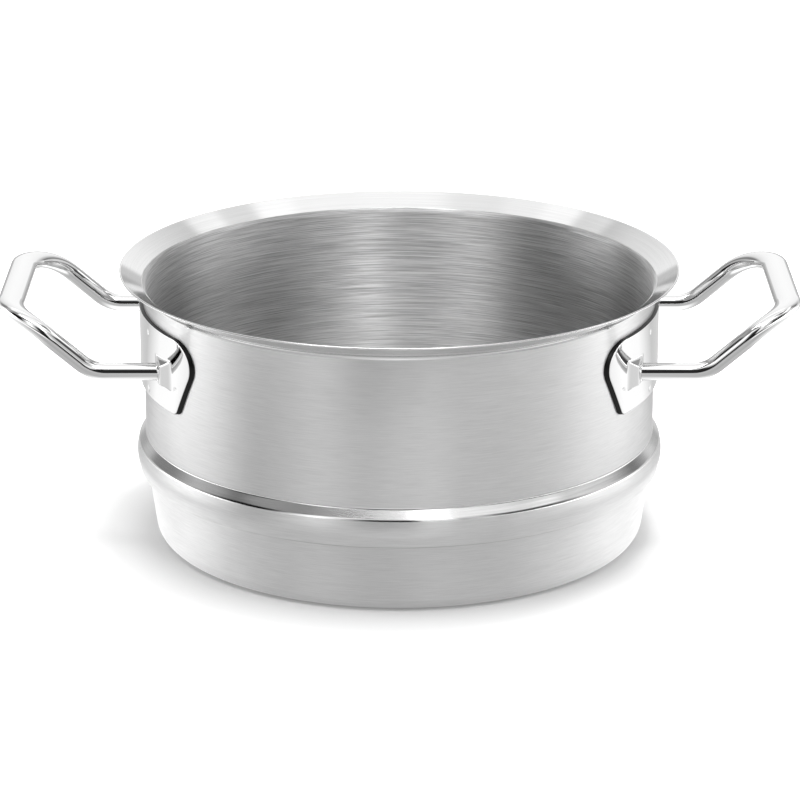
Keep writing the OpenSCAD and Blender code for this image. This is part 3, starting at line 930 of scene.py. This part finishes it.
class STEAMER_OT_welds(bpy.types.Operator):
    """Lay a weld bead round the end of each of the four legs"""

    bl_idname = "steamer.welds"
    bl_label = "Weld beads"

    def execute(self, context):
        h = handle_sizes()
        # Weld metal brushed clean and lightly buffed: bright, with the drops still to be seen.
        bead = polished_steel("buffed_weld", 0.16, wave=0.03 * MM)
        for side, half_turn, front in (("left", True, 1), ("right", False, -1)):
            for place, leg in (("front", front), ("rear", -front)):
                name = f"weld_bead_{side}_{place}"
                rings = weld_rings(h, leg)
                faces = swept(rings, closed=True)
                points = np.concatenate(rings)
                mesh = closed_mesh(name, points, faces, [bead], half_turn, sharp_from=WELD_SHARP_FROM)
                placed(name, mesh, f"bar_weld_{side}_{place}")
        return {"FINISHED"}


# ---- stage ----------------------------------------------------------------

FLOOR_HALF = 8.0
FLOOR_Z = -0.05 * MM
MIRRORED_FLOOR = "#5A5A5A"
CAMERA_PITCH = math.radians(18.48)
CAMERA_DISTANCE = 1.721
CAMERA_AIM = 0.0624
CAMERA_SHIFT = 0.000875
SENSOR, LENS = 36.0, 162.0  # mm
CLIP = (0.05, 50.0)
KEY_PLACE, KEY_SIZE, KEY_WATTS = (0.2, 0.2, 1.2), 0.4, 10.0


def bearing_of(tree, x, y):
    """Bearing from the viewer's side, positive to the right, in degrees."""
    turn = add(tree, MATH, (x, add(tree, MATH, (y, -1.0), operation="MULTIPLY")), operation="ARCTAN2")
    return add(tree, MATH, (turn,), operation="DEGREES")


def levels(tree, value, stops):
    """A brightness that runs through (value, brightness) stops."""
    low, high = stops[0][0], stops[-1][0]
    peak = max(level for _, level in stops)
    ramp = add(tree, "ShaderNodeValToRGB", (add(tree, "ShaderNodeMapRange", (value, low, high)),))
    bar = ramp.color_ramp
    while len(bar.elements) > 1:
        bar.elements.remove(bar.elements[-1])
    for number, (at, level) in enumerate(stops):
        element = bar.elements[0] if number == 0 else bar.elements.new((at - low) / (high - low))
        element.position = (at - low) / (high - low)
        element.color = (level / peak,) * 3 + (1,)
    return add(tree, MATH, (ramp, peak), operation="MULTIPLY")


# The tent's rows, from the height in degrees where each starts: brightness at each bearing, 1 for white paper
TENT = (
    (-90, (
        (-180, 0.5), (-150, 0.5), (-128, 0.8), (-113, 2), (-98, 2), (-83, 1.5), (-68, 1.2), (-53, 0.7),
        (-42, 0.05), (42, 0.05), (52, 0.5), (67, 0.9), (82, 1), (97, 1.4), (112, 1.8), (127, 0.9),
        (150, 0.6), (180, 0.5),
    )),
    (5, (
        (-180, 0.7), (-140, 0.7), (-125, 0.9), (-113, 4.2), (-98, 5.4), (-83, 3.8), (-70, 1), (-53, 1.4),
        (-38, 0.9), (-23, 0.2), (-14, 0), (25, 0), (37, 1.4), (52, 3.4), (67, 4.4), (82, 4.6), (97, 4.8),
        (112, 3.4), (125, 1.1), (150, 0.8), (180, 0.7),
    )),
    (11, (
        (-180, 1.3), (-152, 1), (-135, 0.3), (-122, 0.3), (-110, 0.7), (-98, 0.5), (-85, 0), (-60, 0),
        (-50, 0.8), (-38, 2.1), (-25, 0.9), (-14, 0.03), (8, 0.03), (10, 1.2), (24, 1.2), (27, 0.6),
        (37, 0.9), (48, 0.1), (75, 0.1), (85, 0.4), (97, 1), (112, 0.9), (127, 0.2), (142, 0.7), (160, 1.2),
        (180, 1.3),
    )),
    (42, (
        (-180, 2.1), (-158, 1.4), (-143, 1), (-125, 0.5), (-100, 0.5), (-65, 0.4), (-50, 0.15), (-35, 1.5),
        (-23, 1.7), (-12, 1), (5, 0.8), (10, 3.5), (24, 3.5), (30, 1.2), (37, 1), (48, 0.5), (60, 0.9),
        (82, 1.4), (97, 2.4), (127, 1.8), (157, 1), (180, 2.1),
    )),
    (50, (
        (-180, 1.5), (-128, 1.4), (-112, 0.4), (-80, 0.4), (-57, 0.3), (-30, 0.5), (-8, 1.1), (6, 1.4),
        (10, 3), (24, 3), (30, 1), (52, 1.2), (67, 1.3), (82, 0.6), (97, 0.5), (112, 0.3), (135, 1),
        (180, 1.5),
    )),
    (58, (
        (-180, 0.9), (-140, 1.3), (-125, 1.2), (-110, 0.2), (-98, 0.2), (-85, 2.5), (-68, 2), (-60, 0.2),
        (-25, 0.15), (-8, 0.3), (6, 0.6), (10, 2.5), (24, 2.5), (30, 1.2), (50, 1.8), (67, 2.2), (80, 0.8),
        (95, 0.1), (115, 0.2), (127, 2), (145, 1.2), (180, 0.9),
    )),
    (66, (
        (-180, 1.2), (-140, 1.2), (-110, 0.8), (-95, 2), (-82, 9), (-50, 9), (-8, 11), (8, 11), (30, 9),
        (50, 5), (65, 1.5), (80, 0.4), (115, 1), (140, 1.4), (180, 1.2),
    )),
    (75, ((-180, 1.4), (180, 1.4))),
)
# What metal sees of the floor, from each distance in metres: brightness by bearing to either side
PAPER = (
    (0, ((0, 0.58), (30, 0.62), (50, 0.9), (68, 1.35), (100, 1.55), (120, 1.5), (180, 1.5))),
    (0.18, ((0, 0.8), (30, 0.55), (50, 0.45), (68, 0.5), (100, 0.5), (120, 0.6), (180, 0.8))),
    (0.25, (
        (0, 1), (22, 0.5), (55, 0.4), (68, 0.6), (85, 0.95), (100, 1.25), (115, 1.15), (130, 0.55),
        (180, 0.6),
    )),
    (0.7, (
        (0, 0.2), (15, 0.5), (25, 1.3), (70, 1.3), (90, 1.9), (110, 2.3), (128, 1.2), (145, 0.4),
        (180, 0.3),
    )),
)
# How much the camera sees the floor lifted towards white, by distance in metres from the vessel's axis
WHITE_OUT = ((0.1, 0), (0.12, 0.08), (0.13, 0.2), (0.145, 0.35), (0.17, 0.55), (0.2, 0.7), (0.4, 0.8))
TENT_SEAM = 1.5  # degrees
PAPER_SEAM = 0.025  # metres


def in_rows(tree, bearing, along, rows, seam):
    """Blends rows of brightness over bearing into one another where each next row starts."""
    light = levels(tree, bearing, rows[0][1])
    for start, stops in rows[1:]:
        seam_at = (along, start - seam, start + seam)
        past = add(tree, "ShaderNodeMapRange", seam_at, interpolation_type="SMOOTHSTEP")
        light = add(tree, "ShaderNodeMix", {0: past, 2: light, 3: levels(tree, bearing, stops)})
    return light


def studio_world():
    """A white tent: bright strips low at both sides, a dark front, a grey back and lamps over the mouth. The
    camera sees it as even white, and its rows of brightness light the vessel."""
    world = bpy.data.worlds.new("studio")
    world.use_nodes = True
    tree = world.node_tree
    tree.nodes.clear()
    way = add(tree, "ShaderNodeTexCoord").outputs["Generated"]
    x, y, z = add(tree, "ShaderNodeSeparateXYZ", (way,)).outputs
    height = add(tree, MATH, (add(tree, MATH, (z,), operation="ARCSINE"),), operation="DEGREES")
    sky = in_rows(tree, bearing_of(tree, x, y), height, TENT, TENT_SEAM)
    seen = add(tree, "ShaderNodeLightPath").outputs["Is Camera Ray"]
    shine = add(tree, "ShaderNodeMix", {0: seen, 2: sky, 3: 1.0})
    glow = add(tree, "ShaderNodeBackground", {"Color": (1, 1, 1, 1), "Strength": shine})
    add(tree, "ShaderNodeOutputWorld", {"Surface": glow})
    bpy.context.scene.world = world


def floor_paper():
    """Matt pale paper. The camera sees it lifted to white away from the vessel, with the shadow kept near it,
    and metal sees it at the brightness of its own rows."""
    finishes = bpy.context.scene.steamer_finishes
    material, tree = new_material("matt_white_paper")
    place = add(tree, "ShaderNodeTexCoord").outputs["Object"]
    away = add(tree, "ShaderNodeVectorMath", (place,), operation="LENGTH").outputs["Value"]
    x, y, _ = add(tree, "ShaderNodeSeparateXYZ", (place,)).outputs
    side = add(tree, MATH, (bearing_of(tree, x, y),), operation="ABSOLUTE")
    path = add(tree, "ShaderNodeLightPath").outputs
    lift = add(tree, MATH, (path["Is Camera Ray"], levels(tree, away, WHITE_OUT)), operation="MULTIPLY")
    mirrored = in_rows(tree, side, away, PAPER, PAPER_SEAM)
    strength = add(tree, MATH, (path["Is Glossy Ray"], mirrored, lift), operation="MULTIPLY_ADD")
    # The paper's own colour is nearly three stops darker to metal, so that the rows decide what it mirrors
    shades = {0: path["Is Glossy Ray"], 6: tuple(finishes.floor), 7: linear(MIRRORED_FLOOR)}
    shade = add(tree, "ShaderNodeMix", shades, data_type="RGBA").outputs[2]
    paper = add(tree, "ShaderNodeBsdfDiffuse", {"Color": shade})
    glow = add(tree, "ShaderNodeEmission", {"Color": (1, 1, 1, 1), "Strength": strength})
    add(tree, "ShaderNodeOutputMaterial", {"Surface": add(tree, "ShaderNodeAddShader", (paper, glow))})
    return material


def lamp(name, place, size, watts):
    """A square soft lamp that looks at the middle of the vessel and that metal doesn't mirror."""
    data = bpy.data.lights.new(name, "AREA")
    data.shape, data.size, data.energy = "SQUARE", size, watts
    light = bpy.data.objects.new(name, data)
    light.location = place
    light.rotation_euler = (Vector((0, 0, CAMERA_AIM)) - Vector(place)).to_track_quat("-Z", "Y").to_euler()
    light.visible_glossy = False
    bpy.context.scene.collection.objects.link(light)


class STEAMER_OT_stage(bpy.types.Operator):
    """Set out the pale floor, the white tent, the lamp and the camera"""

    bl_idname = "steamer.stage"
    bl_label = "Stage"

    def execute(self, context):
        scene = context.scene
        mesh = bpy.data.meshes.new("floor")
        corners = [(x * FLOOR_HALF, y * FLOOR_HALF, FLOOR_Z) for x, y in ((-1, -1), (1, -1), (1, 1), (-1, 1))]
        mesh.from_pydata(corners, [], [(0, 1, 2, 3)])
        mesh.materials.append(floor_paper())
        floor = bpy.data.objects.new("floor", mesh)
        scene.collection.objects.link(floor)
        studio_world()
        lamp("key_lamp", KEY_PLACE, KEY_SIZE, KEY_WATTS)
        data = bpy.data.cameras.new("camera")
        data.sensor_width, data.lens, data.shift_x = SENSOR, LENS, CAMERA_SHIFT
        data.clip_start, data.clip_end = CLIP
        camera = bpy.data.objects.new("camera", data)
        back = CAMERA_DISTANCE * math.cos(CAMERA_PITCH)
        camera.location = (0, -back, CAMERA_AIM + CAMERA_DISTANCE * math.sin(CAMERA_PITCH))
        camera.rotation_euler = (math.pi / 2 - CAMERA_PITCH, 0, 0)
        scene.collection.objects.link(camera)
        scene.camera = camera
        scene.view_settings.view_transform = "Standard"
        return {"FINISHED"}


# ---- panel and registration -----------------------------------------------

OPERATORS = (STEAMER_OT_body, STEAMER_OT_plates, STEAMER_OT_bars, STEAMER_OT_welds, STEAMER_OT_stage)
GROUPS = (("steamer_body", BodySizes), ("steamer_handles", HandleSizes), ("steamer_finishes", Finishes))


class STEAMER_PT_panel(bpy.types.Panel):
    """Sizes, finishes and steps of the steamer insert"""

    bl_idname = "STEAMER_PT_panel"
    bl_label = "Steamer insert"
    bl_space_type = "VIEW_3D"
    bl_region_type = "UI"
    bl_category = "Steamer"

    def draw(self, context):
        for pointer, group in GROUPS:
            box = self.layout.box()
            for name in group.__annotations__:
                box.prop(getattr(context.scene, pointer), name)
        for operator in OPERATORS:
            self.layout.operator(operator.bl_idname)


def register():
    for _, group in GROUPS:
        bpy.utils.register_class(group)
    for pointer, group in GROUPS:
        setattr(bpy.types.Scene, pointer, bpy.props.PointerProperty(type=group))
    for item in OPERATORS + (STEAMER_PT_panel,):
        bpy.utils.register_class(item)


def unregister():
    for item in (STEAMER_PT_panel,) + OPERATORS:
        bpy.utils.unregister_class(item)
    for pointer, group in reversed(GROUPS):
        delattr(bpy.types.Scene, pointer)
        bpy.utils.unregister_class(group)


def main():
    register()
    bpy.ops.steamer.body()
    bpy.ops.steamer.plates()
    bpy.ops.steamer.bars()
    bpy.ops.steamer.welds()
    bpy.ops.steamer.stage()
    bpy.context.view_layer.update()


if __name__ == "__main__":
    main()
